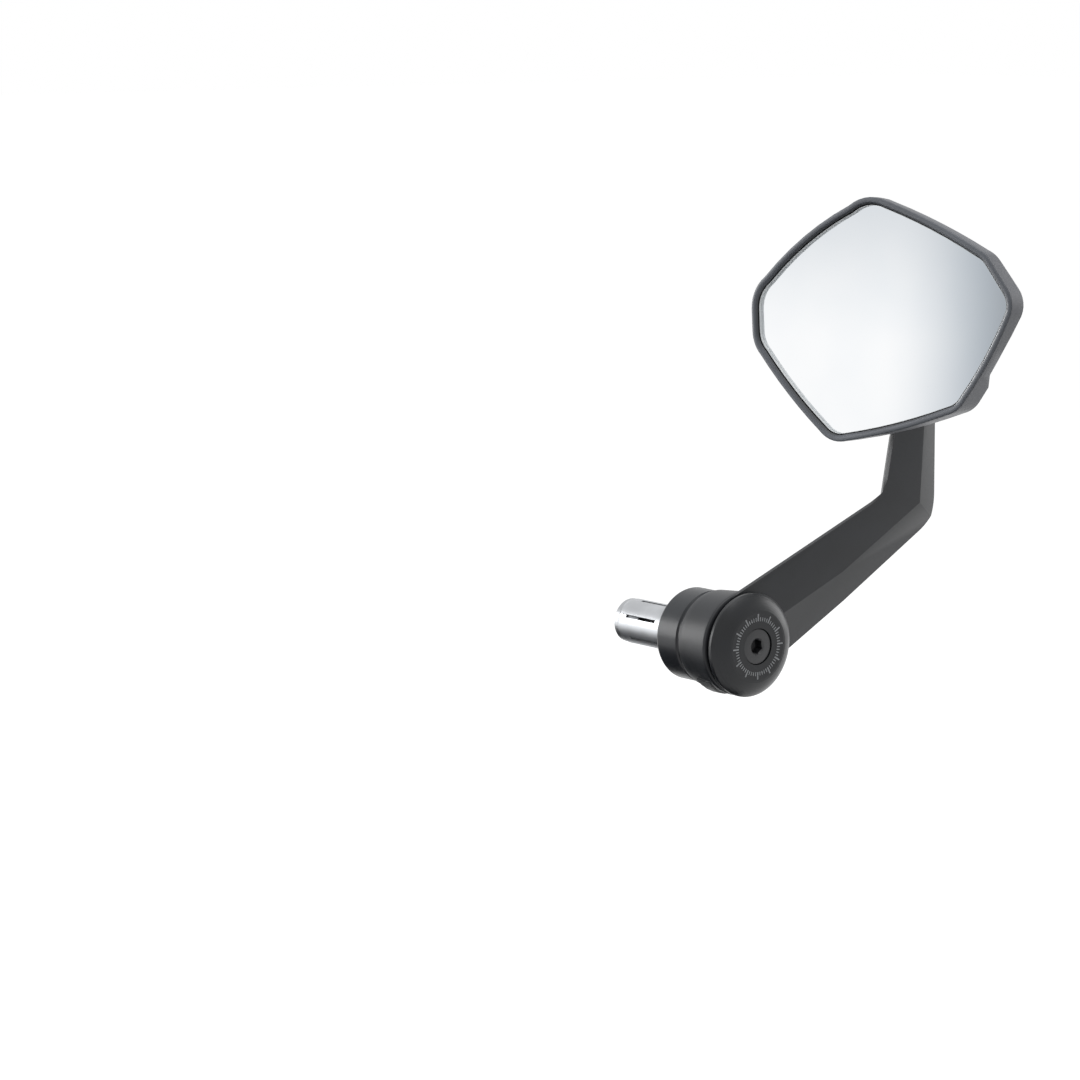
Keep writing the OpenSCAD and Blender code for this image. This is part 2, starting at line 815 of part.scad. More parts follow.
module rear_housing() {
    color("#4a4c50")
        head_frame()
            difference() {
                union() {
                    difference() {
                        housing_outside();
                        housing_inside();
                    }
                    intersection() {
                        housing_outside();
                        union() {
                            clamp_places()
                                cylinder(r = clamp_post_r, h = cup_floor);
                            carrier_places()
                                cylinder(r = carrier_post_r, h = carrier_back);
                        }
                    }
                    translate([0, 0, -socket_end])
                        cylinder(r1 = socket_r - 2.6, r2 = socket_r, h = socket_end + 0.6);
                    translate([0, 0, cup_from - 0.1])
                        cylinder(r = socket_r, h = cup_floor - cup_from);
                }
                sphere(r = pocket_r);
                translate([0, 0, cup_from])
                    cylinder(r = cup_r + run_gap, h = crest_w);
                translate([0, 0, -socket_end - eps])
                    cylinder(r1 = 8.2, r2 = 6.5, h = 1.6 + eps);
                clamp_places()
                    translate([0, 0, clamp_top - clamp_screw_len - 0.4])
                        cylinder(r = tap_r + thread_gap, h = crest_w);
                carrier_places()
                    translate([0, 0, carrier_back - carrier_screw_len])
                        cylinder(r = tap_r + thread_gap, h = crest_w);
            }
}

module glass_carrier() {
    color("#26272a")
        head_frame()
            difference() {
                slab(inset(outline, carrier_inset), carrier_back, pad_back);
                translate([0, 0, carrier_back - eps])
                    cylinder(r = clamp_r + 5.5, h = carrier_t + 2 * eps);
                carrier_places()
                    translate([0, 0, pad_back - sink_deep])
                        cylinder(r1 = tap_r + hole_gap, r2 = sink_r, h = sink_deep);
                carrier_places()
                    translate([0, 0, carrier_back - eps])
                        cylinder(r = tap_r + hole_gap, h = carrier_t + 2 * eps);
            }
}

module carrier_screws() {
    color("#b5b8bb")
        head_frame()
            carrier_places() {
                translate([0, 0, pad_back - sink_deep - 0.05])
                    cylinder(r1 = tap_r, r2 = sink_r - 0.25, h = sink_deep - 0.05);
                translate([0, 0, carrier_back - carrier_screw_len + 0.4])
                    cylinder(r = tap_r, h = carrier_screw_len);
            }
}

module glass_pad() {
    color("#1b1c1e")
        head_frame()
            slab(inset(outline, pad_inset), pad_back, glass_back);
}

module mirror_glass() {
    color("#e8edf0")
        head_frame()
            slab(inset(outline, glass_inset), glass_back, glass_w);
}

module front_bezel() {
    color("#5a5d61")
        head_frame()
            difference() {
                loft([
                    raised(inset(outline, skirt_out), pad_back),
                    raised(inset(outline, skirt_out), parting_w),
                    raised(inset(outline, 0.2), parting_w),
                    raised(outline, parting_w + 0.15),
                    raised(inset(outline, 0.05), crest_w - 0.25),
                    raised(inset(outline, 0.3), crest_w - 0.06),
                    raised(inset(outline, 0.8), crest_w)
                ]);
                slab(inset(outline, skirt_in), pad_back - eps, glass_w + 0.02);
                loft([
                    raised(inset(outline, lip), glass_w - eps),
                    raised(inset(outline, lip), glass_w + 0.2),
                    raised(inset(outline, rim_w + 0.15), crest_w - 0.2),
                    raised(inset(outline, rim_w - 0.2), crest_w),
                    raised(inset(outline, rim_w - 0.2), crest_w + eps)
                ]);
            }
}

inner_collar();
end_cap();
centre_screw();
front_cone();
expander_sleeve();
cone_nut();
cap_dowels();
inner_thrust_washer();
outer_thrust_washer();
wave_washer();
mirror_arm();
ring_bush();
ball_stud();
stud_washer();
stud_nut();
rear_liner();
front_liner();
rear_housing();
pressure_cup();
clamp_plate();
clamp_screws();
glass_carrier();
carrier_screws();
glass_pad();
mirror_glass();
front_bezel();
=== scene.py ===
import json
import math
import bmesh
import bpy
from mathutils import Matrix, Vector


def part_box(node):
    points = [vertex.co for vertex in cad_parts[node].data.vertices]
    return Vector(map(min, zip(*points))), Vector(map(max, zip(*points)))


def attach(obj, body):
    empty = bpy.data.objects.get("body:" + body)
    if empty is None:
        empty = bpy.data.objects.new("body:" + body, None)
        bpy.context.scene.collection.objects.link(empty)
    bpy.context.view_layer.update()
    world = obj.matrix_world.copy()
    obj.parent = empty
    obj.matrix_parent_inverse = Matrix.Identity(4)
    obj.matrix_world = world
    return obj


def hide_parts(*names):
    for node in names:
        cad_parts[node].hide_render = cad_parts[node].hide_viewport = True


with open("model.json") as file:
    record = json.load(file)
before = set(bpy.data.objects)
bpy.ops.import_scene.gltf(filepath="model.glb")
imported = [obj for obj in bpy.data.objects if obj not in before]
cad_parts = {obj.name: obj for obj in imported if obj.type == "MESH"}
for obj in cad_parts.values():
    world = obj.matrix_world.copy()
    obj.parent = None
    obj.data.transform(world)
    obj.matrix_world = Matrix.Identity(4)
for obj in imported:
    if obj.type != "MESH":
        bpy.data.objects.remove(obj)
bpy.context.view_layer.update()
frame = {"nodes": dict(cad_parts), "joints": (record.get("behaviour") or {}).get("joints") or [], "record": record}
nodes = frame["nodes"]
scene = bpy.context.scene
mm = 0.001
print("frame loaded:", len(nodes), "CAD nodes")


class Wire:
    # an output socket that takes part in Python expressions; each operation adds its Math node
    def __init__(self, net, socket):
        self.net = net
        self.socket = socket

    def calc(self, operation, *others):
        return self.net.node("Math", dict(operation=operation), dict(enumerate((self, *others))))

    def __add__(self, other):
        return self.calc("ADD", other)

    def __sub__(self, other):
        return self.calc("SUBTRACT", other)

    def __mul__(self, other):
        return self.calc("MULTIPLY", other)

    def __truediv__(self, other):
        return self.calc("DIVIDE", other)

    def __rsub__(self, other):
        return self.net.node("Math", dict(operation="SUBTRACT"), {0: other, 1: self})

    def __rtruediv__(self, other):
        return self.net.node("Math", dict(operation="DIVIDE"), {0: other, 1: self})

    __radd__ = __add__
    __rmul__ = __mul__

    def size(self):
        return self.calc("ABSOLUTE")

    def root(self):
        return self.calc("SQRT")

    # 0 below the first value and 1 above the second, with a smooth step between them
    def step(self, low, high):
        return self.net.node("MapRange", dict(interpolation_type="SMOOTHSTEP"),
                             {0: self, 1: low, 2: high, 3: 0.0, 4: 1.0})


class Net:
    # the node tree of one material or of the world
    def __init__(self, owner):
        owner.use_nodes = True
        self.owner = owner
        self.tree = owner.node_tree
        self.tree.nodes.clear()

    def node(self, kind, settings=None, inputs=None, out=0):
        made = self.tree.nodes.new("ShaderNode" + kind)
        for key, value in (settings or {}).items():
            setattr(made, key, value)
        for key, value in (inputs or {}).items():
            if isinstance(value, Wire):
                self.tree.links.new(value.socket, made.inputs[key])
            else:
                made.inputs[key].default_value = value
        return Wire(self, made.outputs[out] if made.outputs else None)

    def blend(self, share, first, second):
        return self.node("Mix", dict(data_type="RGBA"), {0: share, 6: first, 7: second}, out=2)

    def place(self):
        return self.node("TexCoord", out=3)

    def split(self, vector):
        made = self.node("SeparateXYZ", None, {0: vector})
        return [Wire(self, s) for s in made.socket.node.outputs]

    def noise(self, scale, detail=2.0, rough=0.5, seed=0.0):
        return self.node("TexNoise", dict(noise_dimensions="4D"), {
            "Vector": self.place(), "W": seed, "Scale": scale, "Detail": detail, "Roughness": rough})

    def bump(self, height, strength, distance):
        return self.node("Bump", None, {"Height": height, "Strength": strength, "Distance": distance})


def rgb(red, green, blue):
    # sRGB values from 0 to 255 as a linear colour
    def linear(v):
        v /= 255
        return v / 12.92 if v <= 0.04045 else ((v + 0.055) / 1.055) ** 2.4
    return (linear(red), linear(green), linear(blue), 1.0)


def newNet(name):
    return Net(bpy.data.materials.new(name))


def shaded(net, colour, rough, metal, normal=None, **constants):
    # finishes a material whose tree is under way; constants go straight onto the shader's sockets
    inputs = {"Base Color": colour, "Roughness": rough, "Metallic": metal}
    if normal is not None:
        inputs["Normal"] = normal
    for key, value in constants.items():
        inputs[key.replace("_", " ")] = value
    skin = net.node("BsdfPrincipled", None, inputs)
    net.node("OutputMaterial", None, {"Surface": skin})
    return net.owner


# Satin black alloy: fine blasted grain under the anodising, with a faint drift in tone
blackAlloy = {"dark": rgb(38, 40, 43), "pale": rgb(46, 48, 52), "rough": 0.42, "gloss": 0.35,
              "driftScale": 45, "driftBand": (0.35, 0.65), "driftRough": 0.08,
              "grainScale": 5200, "grain": 0.05, "grainRough": 0.1, "bump": 0.25, "depth": 0.02,
              "turnedPitch": 9000, "turnedLean": 0.93, "turned": 0.35, "turnedRough": 0.14}
turnedAlloy = {**blackAlloy, "rough": 0.33}
collarTones = {**turnedAlloy, "dark": rgb(44, 46, 50), "pale": rgb(51, 54, 58)}
capTones = {**turnedAlloy, "dark": rgb(34, 36, 39), "pale": rgb(41, 43, 47)}


def makeBlackAlloy(name, spec, turned=False, ticks=None):
    net = newNet(name)
    drift = net.noise(spec["driftScale"])
    grain = net.noise(spec["grainScale"], seed=3.0)
    tone = net.blend(drift.step(*spec["driftBand"]), spec["dark"], spec["pale"])
    height = grain * spec["grain"]
    rough = spec["rough"] + (drift - 0.5) * spec["driftRough"] + (grain - 0.5) * spec["grainRough"]
    if turned:
        x, y, z = net.split(net.place())
        radius = (y * y + z * z).root()
        across = (radius + x * spec["turnedLean"]) * spec["turnedPitch"]
        line = net.node("TexNoise", dict(noise_dimensions="1D"), {"W": across, "Scale": 1.0, "Detail": 1.0})
        height = height + line * spec["turned"]
        rough = rough + (line - 0.5) * spec["turnedRough"]
    normal = net.bump(height, spec["bump"], spec["depth"] * mm)
    if ticks:
        tone = net.blend(tickMask(net, ticks), tone, ticks["pale"])
    return shaded(net, tone, rough, 0.0, normal, Specular_IOR_Level=spec["gloss"])


# Plain pale ticks round the cap's face, in millimetres; each fifth one is longer and wider
tickRing = {"count": 60, "inner": 9.3, "short": 10.7, "long": 12.0, "width": 0.36, "every": 5, "wider": 1.5,
            "soft": 0.05, "edge": (0.35, 0.65), "faceFrom": 0.3, "faceTo": 0.1, "pale": rgb(196, 199, 202)}
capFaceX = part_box("end_cap")[1].x / mm


def tickMask(net, spec):
    x, y, z = net.split(net.place())
    radius = (y * y + z * z).root() / mm
    turn = net.node("Math", dict(operation="ARCTAN2"), {0: z, 1: y}) / (2 * math.pi) + 0.5

    def ticks(count, outer, width):
        share = (turn * count).calc("FRACT") - 0.5
        fromGap = share.size() * (2 * math.pi / count) * radius
        across = (math.pi / count) * radius - fromGap
        beside = 1 - across.step(width * spec["edge"][0], width * spec["edge"][1])
        begun = radius.step(spec["inner"] - spec["soft"], spec["inner"] + spec["soft"])
        ended = radius.step(outer - spec["soft"], outer + spec["soft"])
        return beside * begun * (1 - ended)

    fine = ticks(spec["count"], spec["short"], spec["width"])
    coarse = ticks(spec["count"] // spec["every"], spec["long"], spec["width"] * spec["wider"])
    face = (x / mm).step(capFaceX - spec["faceFrom"], capFaceX - spec["faceTo"])
    return fine.calc("MAXIMUM", coarse) * face


# Painted shade on the rim's inner wall beside the glass, by how squarely a face looks to the middle
rimWallShade = {"tone": rgb(20, 21, 23), "facing": (0.45, 0.85)}


def inwardShadeMask(net, middle):
    # 1 on walls that face the middle of the glass; these walls get the painted shade
    toward = net.node("VectorMath", dict(operation="SUBTRACT"), {0: middle, 1: net.place()})
    toward = net.node("VectorMath", dict(operation="NORMALIZE"), {0: toward})
    normal = net.node("TexCoord", out=1)
    facing = net.node("VectorMath", dict(operation="DOT_PRODUCT"), {0: toward, 1: normal}, out=1)
    return facing.step(*rimWallShade["facing"])


# Moulded plastics and black oxide: a faint drift in tone under a leather grain
moulded = {"driftScale": 60, "driftBand": (0.3, 0.7), "paler": 1.18, "grainRough": 0.12}


def makePlastic(name, colour, rough, scale, grain, depth, shadeMiddle=None, **constants):
    # scale, grain and depth (mm) are the leather's; the last argument is the middle of the glass, and inner walls
    # that face it get painted shade
    net = newNet(name)
    drift = net.noise(moulded["driftScale"])
    leather = net.noise(scale, detail=3.0, rough=0.6, seed=2.0)
    pale = [min(1.0, c * moulded["paler"]) for c in colour[:3]] + [1.0]
    tone = net.blend(drift.step(*moulded["driftBand"]), colour, pale)
    # painted shade on the inner walls that face the middle of the glass
    if shadeMiddle:
        tone = net.blend(inwardShadeMask(net, shadeMiddle), tone, rimWallShade["tone"])
    rough = rough + (leather - 0.5) * moulded["grainRough"]
    return shaded(net, tone, rough, 0.0, net.bump(leather, grain, depth * mm), **constants)


# Bare metals: a drift in tone and fine scratches
bareMetal = {"driftScale": 120, "driftBand": (0.3, 0.7), "darker": 0.86, "driftRough": 0.1,
             "scratchScale": 4000, "scratchRough": 0.2, "depth": 0.01}


def makeSteel(name, colour, rough, scratch):
    net = newNet(name)
    drift = net.noise(bareMetal["driftScale"], detail=3.0)
    fine = net.noise(bareMetal["scratchScale"], seed=5.0)
    darker = [c * bareMetal["darker"] for c in colour[:3]] + [1.0]
    tone = net.blend(drift.step(*bareMetal["driftBand"]), darker, colour)
    rough = rough + (fine - 0.5) * bareMetal["scratchRough"] + (drift - 0.5) * bareMetal["driftRough"]
    return shaded(net, tone, rough, 1.0, net.bump(fine, scratch, bareMetal["depth"] * mm))


finishes = {}
finishes["arm_alloy"] = makeBlackAlloy("armAlloy", blackAlloy)
finishes["black_alloy"] = makeBlackAlloy("collarAlloy", collarTones, turned=True)
capFinish = makeBlackAlloy("capAlloy", capTones, turned=True, ticks=tickRing)
finishes["black_steel"] = makePlastic("oxideSteel", rgb(36, 37, 40), rough=0.36, scale=3000, grain=0.2,
                                      depth=0.01, Specular_IOR_Level=0.6)
finishes["zinc_steel"] = makeSteel("zincSteel", rgb(182, 184, 187), rough=0.34, scratch=0.2)
finishes["bare_alloy"] = makeSteel("bareAlloy", rgb(190, 192, 195), rough=0.42, scratch=0.25)
finishes["spring_steel"] = makeSteel("springSteel", rgb(150, 151, 153), rough=0.38, scratch=0.2)
finishes["black_nylon"] = makePlastic("blackNylon", rgb(30, 30, 32), rough=0.5, scale=1500, grain=0.15,
                                      depth=0.02)
finishes["bush_plastic"] = makePlastic("bushPlastic", rgb(188, 164, 108), rough=0.5, scale=1500, grain=0.15,
                                       depth=0.02)
finishes["liner_plastic"] = makePlastic("linerPlastic", rgb(226, 226, 220), rough=0.42, scale=1500, grain=0.1,
                                        depth=0.02)
finishes["housing_plastic"] = makePlastic("housingPlastic", rgb(76, 79, 86), rough=0.48, scale=2600,
                                          grain=0.35, depth=0.03, Specular_IOR_Level=0.75)
glassMiddle = sum(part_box("mirror_glass"), Vector()) / 2
# the bezel's inner walls that face the glass get painted shade
finishes["bezel_plastic"] = makePlastic("bezelPlastic", rgb(106, 110, 117), rough=0.42, scale=2600,
                                        grain=0.25, depth=0.02, shadeMiddle=glassMiddle, Specular_IOR_Level=0.5)
finishes["inner_plastic"] = makePlastic("innerPlastic", rgb(34, 34, 36), rough=0.55, scale=1800, grain=0.3,
                                        depth=0.03)
finishes["foam_pad"] = makePlastic("foamPad", rgb(40, 40, 41), rough=0.9, scale=2200, grain=0.8, depth=0.05)

# The silver is a mirror with a faint haze; the glass's ground edge is pale, dull and finely scratched
silvered = {"dark": rgb(246, 248, 250), "pale": rgb(250, 251, 252), "rough": 0.015, "hazeScale": 30,
            "hazeBand": (0.3, 0.7), "hazeRough": 0.01}
groundEdge = {"dark": rgb(226, 230, 232), "pale": rgb(238, 241, 242), "rough": 0.6, "driftScale": 90,
              "driftBand": (0.3, 0.7), "scratchScale": 5200, "scratchRough": 0.1, "scratch": 0.05,
              "depth": 0.01}


def makeGlass(spec):
    net = newNet("silveredGlass")
    haze = net.noise(spec["hazeScale"])
    tone = net.blend(haze.step(*spec["hazeBand"]), spec["dark"], spec["pale"])
    return shaded(net, tone, spec["rough"] + (haze - 0.5) * spec["hazeRough"], 1.0)


def makeGroundGlass(spec):
    net = newNet("groundGlass")
    drift = net.noise(spec["driftScale"])
    scratch = net.noise(spec["scratchScale"], seed=4.0)
    tone = net.blend(drift.step(*spec["driftBand"]), spec["dark"], spec["pale"])
    rough = spec["rough"] + (scratch - 0.5) * spec["scratchRough"]
    return shaded(net, tone, rough, 0.0, net.bump(scratch, spec["scratch"], spec["depth"] * mm))


finishes["mirror_glass"] = makeGlass(silvered)
groundGlass = makeGroundGlass(groundEdge)
print("materials made:", len(finishes) + 2)

slots = {s["node"]: s["material_slot"] for s in frame["record"]["subparts"]}
for name, piece in nodes.items():
    piece.data.materials.clear()
    piece.data.materials.append(capFinish if name == "end_cap" else finishes[slots[name]])


def angleGroup():
    # smooths a mesh wherever two faces meet at less than the given angle
    tree = bpy.data.node_groups.new("smoothByAngle", "GeometryNodeTree")
    tree.interface.new_socket("Geometry", in_out="INPUT", socket_type="NodeSocketGeometry")
    tree.interface.new_socket("Geometry", in_out="OUTPUT", socket_type="NodeSocketGeometry")
    angleSocket = tree.interface.new_socket("Angle", in_out="INPUT", socket_type="NodeSocketFloat")

    def add(kind, **settings):
        made = tree.nodes.new(kind)
        for key, value in settings.items():
            setattr(made, key, value)
        return made

    entry, leave = add("NodeGroupInput"), add("NodeGroupOutput")
    clear = add("GeometryNodeRemoveAttribute")
    clear.inputs["Name"].default_value = "custom_normal"
    faces = add("GeometryNodeSetShadeSmooth", domain="FACE")
    edges = add("GeometryNodeSetShadeSmooth", domain="EDGE")
    edgeAngle = add("GeometryNodeInputMeshEdgeAngle")
    below = add("FunctionNodeCompare", data_type="FLOAT", operation="LESS_THAN")
    tree.links.new(entry.outputs["Geometry"], clear.inputs["Geometry"])
    tree.links.new(clear.outputs["Geometry"], faces.inputs["Geometry"])
    tree.links.new(faces.outputs["Geometry"], edges.inputs["Geometry"])
    tree.links.new(edgeAngle.outputs["Unsigned Angle"], below.inputs[0])
    tree.links.new(entry.outputs["Angle"], below.inputs[1])
    tree.links.new(below.outputs["Result"], edges.inputs["Shade Smooth"])
    tree.links.new(edges.outputs["Geometry"], leave.inputs["Geometry"])
    return tree, angleSocket.identifier


smoothTree, smoothAngle = angleGroup()


# Smooth angle in degrees, and the radius of rounded edges in millimetres
softEdges = {"mirror_arm": {"angle": 16, "width": 0.3}, "rear_housing": {"angle": 32},
             "front_bezel": {"angle": 32}, "mirror_glass": {"angle": 30}}
softening = {"weld": 0.002, "flat": 0.6, "segments": 2}


def soften(name, angle, width=0.0):
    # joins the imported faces, smooths the small angles and rounds the edges that are left
    piece = nodes[name]
    weld = piece.modifiers.new("weld", "WELD")
    weld.merge_threshold = softening["weld"] * mm
    if width:
        flat = piece.modifiers.new("flat", "DECIMATE")
        flat.decimate_type = "DISSOLVE"
        flat.angle_limit = math.radians(softening["flat"])
        edge = piece.modifiers.new("edge", "BEVEL")
        edge.width = width * mm
        edge.segments = softening["segments"]
        edge.limit_method = "ANGLE"
        edge.angle_limit = math.radians(angle)
    smooth = piece.modifiers.new("smooth", "NODES")
    smooth.node_group = smoothTree
    smooth[smoothAngle] = math.radians(angle)


for name, spec in softEdges.items():
    soften(name, **spec)
print("edges softened")

# Fasteners are skins of rings round an axis, in millimetres; a hexagon's corners lie on points of its ring
ringPoints = 48


def hexRadius(k, flats):
    return flats / 2 / math.cos(math.radians(k * 360 / ringPoints % 60 - 30))


def circle(reach, radius):
    return [(reach, radius)] * ringPoints


def hexagon(reach, flats):
    return [(reach, hexRadius(k, flats)) for k in range(ringPoints)]


def hexEdge(reach, flats, mouth, slope):
    # where a hexagon meets the cone that starts at the mouth's radius
    return [(reach + slope * (hexRadius(k, flats) - mouth), hexRadius(k, flats)) for k in range(ringPoints)]


# Thread: rings per turn, depth as a share of the pitch, crest and flank as shares of half a turn
threadForm = {"perTurn": 8, "depth": 0.56, "crest": 0.12, "flank": 0.76}


def threadRings(start, end, major, pitch, tip):
    # helical groove that fades in over the first turn and runs out in the chamfer of the tip
    perTurn, depth = threadForm["perTurn"], threadForm["depth"] * pitch
    steps = round(abs(end - start) / pitch * perTurn)
    rings = []
    for i in range(steps + 1):
        reach = start + (end - start) * i / steps
        share = min(1.0, i / perTurn)
        ring = []
        for k in range(ringPoints):
            turn = (i / perTurn - k / ringPoints) % 1.0
            groove = min(1.0, max(0.0, (1 - abs(2 * turn - 1) - threadForm["crest"]) / threadForm["flank"]))
            ring.append((reach, min(major - depth * share * groove, tip + abs(end - reach))))
        rings.append(ring)
    return rings


def skinPiece(name, outlines, ring=False, sharp=28):
    # skin through outlines; closed by a face at each end, or joined to itself as a ring
    form = bmesh.new()
    loops = [[form.verts.new(spot) for spot in outline] for outline in outlines]
    for low, high in zip(loops, loops[1:] + (loops[:1] if ring else [])):
        for k in range(len(low)):
            m = (k + 1) % len(low)
            form.faces.new((low[k], low[m], high[m], high[k]))
    if not ring:
        form.faces.new(loops[0][::-1])
        form.faces.new(loops[-1])
    bmesh.ops.recalc_face_normals(form, faces=form.faces)
    for edge in form.edges:
        edge.smooth = edge.calc_face_angle(0.0) < math.radians(sharp)
    for face in form.faces:
        face.smooth = True
    mesh = bpy.data.meshes.new(name)
    form.to_mesh(mesh)
    form.free()
    piece = bpy.data.objects.new(name, mesh)
    scene.collection.objects.link(piece)
    return piece


def turnedPiece(name, origin, axes, rings, bored=False):
    # each ring lists the reach along the axis and the radius of its points
    along, first, second = (Vector(a) for a in axes)
    outlines = []
    for ring in rings:
        outline = []
        for k, (reach, radius) in enumerate(ring):
            angle = 2 * math.pi * k / ringPoints
            spoke = first * math.cos(angle) + second * math.sin(angle)
            outline.append(origin + (along * reach + spoke * radius) * mm)
        outlines.append(outline)
    return skinPiece(name, outlines, ring=bored)


def standFor(piece, body, node, finish=None):
    slotName = slots[node]
    piece.data.materials.append(finish or finishes[slotName])
    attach(piece, body)
    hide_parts(node)


# Countersunk M8 screw on the bar's axis, its socket turned a little as in the photograph
screwSizes = {"flats": 5.0, "mouth": 3.15, "slope": 1.0, "deep": 4.0, "ledge": 0.1, "drill": 0.8,
              "point": 0.4, "side": 0.4, "soft": 0.15, "shank": 3.98, "threadFrom": -19.0, "pitch": 1.25,
              "tip": 3.1, "turn": 8.0}


def makeCentreScrew(spec):
    low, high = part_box("centre_screw")
    end, top, head = low.x / mm, high.x / mm, high.z / mm
    turn = math.radians(spec["turn"])
    corner = (0, -math.sin(turn), math.cos(turn))
    beside = (0, math.cos(turn), math.sin(turn))
    shoulder = top - spec["side"]
    rings = [
        circle(top - spec["deep"] - spec["drill"], spec["point"]),
        circle(top - spec["deep"], spec["flats"] / 2 - spec["ledge"]),
        hexagon(top - spec["deep"], spec["flats"]),
        hexEdge(top, spec["flats"], spec["mouth"], spec["slope"]),
        circle(top, spec["mouth"]), circle(top, head - spec["soft"] * 2),
        circle(top - spec["soft"] * 0.4, head - spec["soft"] * 0.6), circle(top - spec["soft"] * 1.2, head),
        circle(shoulder, head), circle(shoulder - (head - spec["shank"]), spec["shank"])
    ]
    rings += threadRings(spec["threadFrom"], end, spec["shank"], spec["pitch"], spec["tip"])
    piece = turnedPiece("centreScrew", Vector((0, 0, 0)), ((1, 0, 0), corner, beside), rings)
    standFor(piece, "bar_end", "centre_screw")


# Ball stud and its nut, along Y through the ball's centre
studSizes = {"neck": 3.75, "seat": 12.5, "collar": 2.4, "mouth": 6.25, "slope": math.tan(math.radians(30)),
             "shank": 3.98, "threadFrom": 21.0, "pitch": 1.25, "tip": 3.1, "ballSteps": 22, "ballPole": 4,
             "fillet": ((0.7, 0.0), (0.3, 0.1), (0.08, 0.35), (0.0, 0.7)), "bore": 4.03, "boreEdge": 0.35}
studAxes = ((0, 1, 0), (1, 0, 0), (0, 0, 1))


def makeBallStud(spec):
    low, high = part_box("ball_stud")
    nutLow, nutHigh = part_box("stud_nut")
    ball = (high.x - low.x) / 2 / mm
    centre = Vector(((low.x + high.x) / 2, low.y + ball * mm, (low.z + high.z) / 2))
    flats = (nutHigh.z - nutLow.z) / mm
    reachOfNeck = math.pi - math.asin(spec["neck"] / ball)
    first = math.radians(spec["ballPole"])
    rings = []
    for i in range(spec["ballSteps"] + 1):
        angle = first + (reachOfNeck - first) * i / spec["ballSteps"]
        rings.append(circle(-ball * math.cos(angle), ball * math.sin(angle)))
    under = spec["seat"] - spec["collar"]
    rings += [circle(under - back, spec["neck"] + out) for back, out in spec["fillet"]]
    rings += [
        circle(under, spec["mouth"]), hexEdge(under, flats, spec["mouth"], spec["slope"]),
        hexagon(spec["seat"], flats), circle(spec["seat"], spec["shank"])
    ]
    end = (high.y - centre.y) / mm
    rings += threadRings(spec["threadFrom"], end, spec["shank"], spec["pitch"], spec["tip"])
    standFor(turnedPiece("ballStud", centre, studAxes, rings), "arm", "ball_stud")


def makeStudNut(spec):
    low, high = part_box("stud_nut")
    centre = Vector(((low.x + high.x) / 2, 0, (low.z + high.z) / 2))
    flats, start, end = (high.z - low.z) / mm, low.y / mm, high.y / mm
    wide = spec["bore"] + spec["boreEdge"]
    rings = [
        circle(start + spec["boreEdge"], spec["bore"]), circle(start, wide), circle(start, spec["mouth"]),
        hexEdge(start, flats, spec["mouth"], spec["slope"]),
        hexEdge(end, flats, spec["mouth"], -spec["slope"]),
        circle(end, spec["mouth"]), circle(end, wide), circle(end - spec["boreEdge"], spec["bore"])
    ]
    standFor(turnedPiece("studNut", centre, studAxes, rings, bored=True), "arm", "stud_nut")


makeCentreScrew(screwSizes)
makeBallStud(studSizes)
makeStudNut(studSizes)

# The silver shows through the glass at two thirds of its depth; the ground edge shows beside it.
# Free, lip and gap are measured inwards from the solid's outline, in millimetres.
glassSizes = {"index": 1.5, "free": 0.8, "lip": 0.95, "gap": 0.05, "sunk": 0.05, "flat": 0.01}


def inset(points, amount):
    moved = []
    for i, point in enumerate(points):
        along = (points[(i + 1) % len(points)] - points[i - 1]).normalized()
        moved.append(point + Vector((-along.y, along.x)) * amount)
    return moved


def makeMirror(spec):
    normal = Vector(next(j["axis"] for j in frame["joints"] if j["name"] == "head_roll")).normalized()
    side = Vector((0, 0, 1)).cross(normal).normalized() * -1
    rise = normal.cross(side) * -1
    spots = [v.co.copy() for v in nodes["mirror_glass"].data.vertices]
    front, back = max(p.dot(normal) for p in spots), min(p.dot(normal) for p in spots)
    face = [p for p in spots if front - p.dot(normal) < spec["flat"] * mm]
    outline = {(round(p.dot(side), 6), round(p.dot(rise), 6)) for p in face}
    middle = Vector((sum(p[0] for p in outline) / len(outline), sum(p[1] for p in outline) / len(outline)))
    points = sorted((Vector(p) for p in outline), key=lambda p: math.atan2(p.y - middle.y, p.x - middle.x))
    thick, sunk = front - back, spec["sunk"] * mm
    silver = thick / spec["index"]

    def sheet(points, depth):
        return [side * p.x + rise * p.y + normal * (front - depth) for p in points]

    edgeOut, edgeIn = inset(points, spec["free"] * mm), inset(points, spec["lip"] * mm)
    plate = inset(points, (spec["lip"] + spec["gap"]) * mm)
    walls = [sheet(edgeOut, sunk), sheet(edgeOut, thick), sheet(edgeIn, thick), sheet(edgeIn, sunk)]
    standFor(skinPiece("glassEdge", walls, ring=True), "head", "mirror_glass", groundGlass)
    mirror = skinPiece("silveredGlass", [sheet(plate, silver), sheet(plate, thick)])
    standFor(mirror, "head", "mirror_glass")


makeMirror(glassSizes)
print("fasteners and glass made")

# Studio: pale floor that is dark only for the light it throws on the object, and white surroundings
studio = {"floorZ": -0.30, "floorHalf": 14.0, "floorTone": (0.80, 0.80, 0.80, 1.0),
          "floorPale": (0.82, 0.82, 0.82, 1.0), "floorGlow": 0.67, "floorDark": rgb(52, 54, 58),
          "worldDiffuse": 0.42}


def seenRays(net):
    # 1 for what the camera, a gloss or a clear piece sees, 0 for the light that falls on the object
    path = net.node("LightPath")
    camera, glossy, through = (Wire(net, path.socket.node.outputs[k]) for k in
                               ("Is Camera Ray", "Is Glossy Ray", "Is Transmission Ray"))
    return camera.calc("MAXIMUM", glossy).calc("MAXIMUM", through)


def stagePlane(name, corners, finish):
    mesh = bpy.data.meshes.new(name)
    mesh.from_pydata(corners, [], [(0, 1, 2, 3)])
    mesh.materials.append(finish)
    plane = bpy.data.objects.new(name, mesh)
    scene.collection.objects.link(plane)
    return plane


